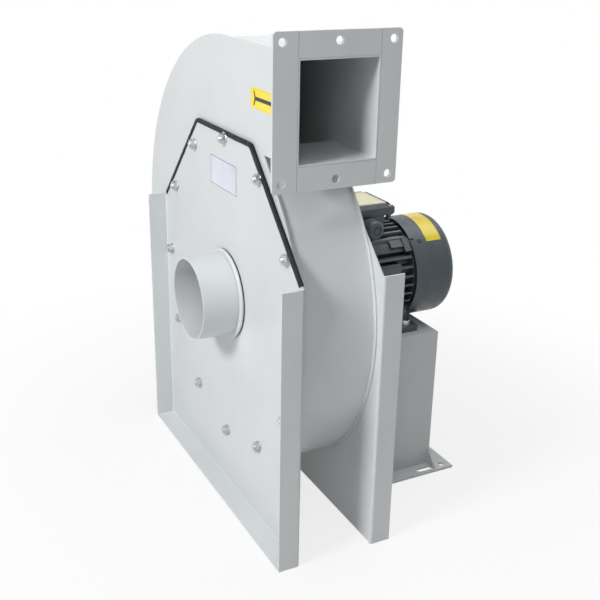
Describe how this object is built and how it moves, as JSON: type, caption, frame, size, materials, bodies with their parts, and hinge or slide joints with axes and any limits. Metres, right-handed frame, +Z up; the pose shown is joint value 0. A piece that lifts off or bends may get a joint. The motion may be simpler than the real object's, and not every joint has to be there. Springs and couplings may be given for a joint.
{
  "type": "centrifugal blower",
  "caption": "Foot-mounted industrial centrifugal blower: scroll casing between two folded support plates, round side inlet, square flanged outlet and a finned motor on a sheet pedestal.",
  "frame": {"origin": "on the floor, under the middle of the whole blower's box", "axes": "+X the way the air leaves the outlet, -Y the way the round inlet faces, +Y along the shaft towards the motor, +Z up"},
  "size_m": [0.7139, 0.5068, 0.8723],
  "materials": {
    "sheet_paint": "light grey semi-gloss powder coat",
    "black_rubber": "satin black rubber",
    "zinc_plated": "bright zinc plating",
    "motor_paint": "dark blue-grey satin paint",
    "frame_paint": "near-black blue-grey paint on cast metal",
    "bare_steel": "bare machined and rolled steel",
    "copper_wire": "varnished copper windings",
    "black_plastic": "matt moulded plastic",
    "tag_metal": "brushed blank plate",
    "yellow_label": "plain yellow film",
    "pale_label": "plain pale yellow film"
  },
  "bodies": {
    "casing": {"front_support_plate": "sheet_paint", "rear_support_plate": "sheet_paint", "front_edge_trim": "black_rubber", "casing_front_sheet": "sheet_paint", "casing_rear_sheet": "sheet_paint", "scroll_wrapper": "sheet_paint", "duct_floor": "sheet_paint", "panel_gasket": "black_rubber", "panel_studs": "zinc_plated", "panel_washers": "zinc_plated", "panel_nuts": "zinc_plated", "inlet_spigot": "sheet_paint", "inlet_collar": "sheet_paint", "inlet_seal": "black_rubber", "inlet_cone": "sheet_paint", "outlet_side_bars": "sheet_paint", "outlet_cross_bars": "sheet_paint", "boss_seal": "black_rubber", "pedestal_column": "sheet_paint", "pedestal_base": "sheet_paint", "pedestal_gussets": "sheet_paint", "foot_bolts": "zinc_plated", "foot_washers": "zinc_plated", "foot_nuts": "zinc_plated", "motor_frame": "frame_paint", "drive_end_shield": "motor_paint", "fan_end_shield": "motor_paint", "shield_screws": "zinc_plated", "stator_core": "bare_steel", "stator_windings": "copper_wire", "drive_end_bearing_ring": "bare_steel", "fan_end_bearing_ring": "bare_steel", "fan_cowl": "motor_paint", "cowl_grille": "motor_paint", "cowl_screws": "motor_paint", "terminal_box": "motor_paint", "terminal_lid": "motor_paint", "lid_screws": "zinc_plated", "terminal_board": "black_plastic", "blanking_plug": "motor_paint", "maker_plate": "tag_metal", "casing_label": "yellow_label", "cowl_label": "yellow_label", "lid_label": "pale_label", "motor_plate": "frame_paint"},
    "rotor": {"motor_shaft": "bare_steel", "rotor_core": "bare_steel", "drive_end_bearing_race": "bare_steel", "fan_end_bearing_race": "bare_steel", "shaft_v_ring": "black_rubber", "cooling_fan": "black_plastic", "impeller_hub": "bare_steel", "impeller_back_disc": "bare_steel", "impeller_blades": "bare_steel", "impeller_front_disc": "bare_steel", "hub_rivets": "zinc_plated", "shaft_key": "bare_steel", "hub_washer": "zinc_plated", "hub_bolt": "zinc_plated"}
  },
  "joints": [
    {"name": "rotor_spin", "type": "hinge", "parent": "casing", "child": "rotor", "pos_m": [0.0595, -0.1804, 0.392], "axis": [0, 1, 0], "continuous": true}
  ]
}
